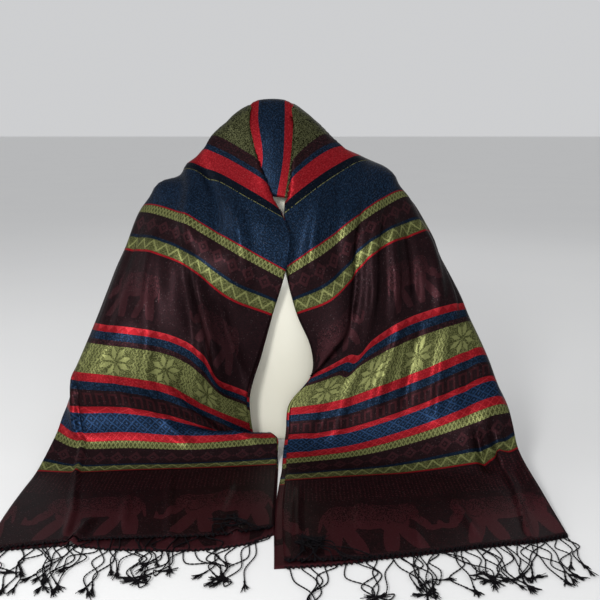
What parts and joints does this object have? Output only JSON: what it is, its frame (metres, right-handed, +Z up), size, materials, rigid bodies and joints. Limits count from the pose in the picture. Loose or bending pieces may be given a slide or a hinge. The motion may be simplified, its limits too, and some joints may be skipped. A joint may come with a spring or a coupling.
{
  "type": "pashmina shawl on a limbless bust form",
  "caption": "Long fringed shawl with woven stripes and elephants, folded lengthwise and draped over the neck of a smooth bust form, its ends lying on the surface in front.",
  "frame": {"origin": "centre of the bust form's flat base, on the surface that the form, the shawl's ends and the fringes rest on", "axes": "+Z up, +X to the right as seen from the front, -Y towards the front, where the shawl's two ends lie"},
  "size_m": [0.7116, 0.6622, 0.5341],
  "materials": {
    "form_shell": "glossy moulded shell",
    "jacquard_cloth": "satiny jacquard weave",
    "fringe_yarn": "twisted yarn"
  },
  "bodies": {
    "root": {"bust_form": "form_shell", "shawl_neck": "jacquard_cloth", "shawl_shoulder_left": "jacquard_cloth", "shawl_front_left": "jacquard_cloth", "shawl_end_left": "jacquard_cloth", "fringe_left": "fringe_yarn", "shawl_shoulder_right": "jacquard_cloth", "shawl_front_right": "jacquard_cloth", "shawl_end_right": "jacquard_cloth", "fringe_right": "fringe_yarn"}
  },
  "joints": []
}
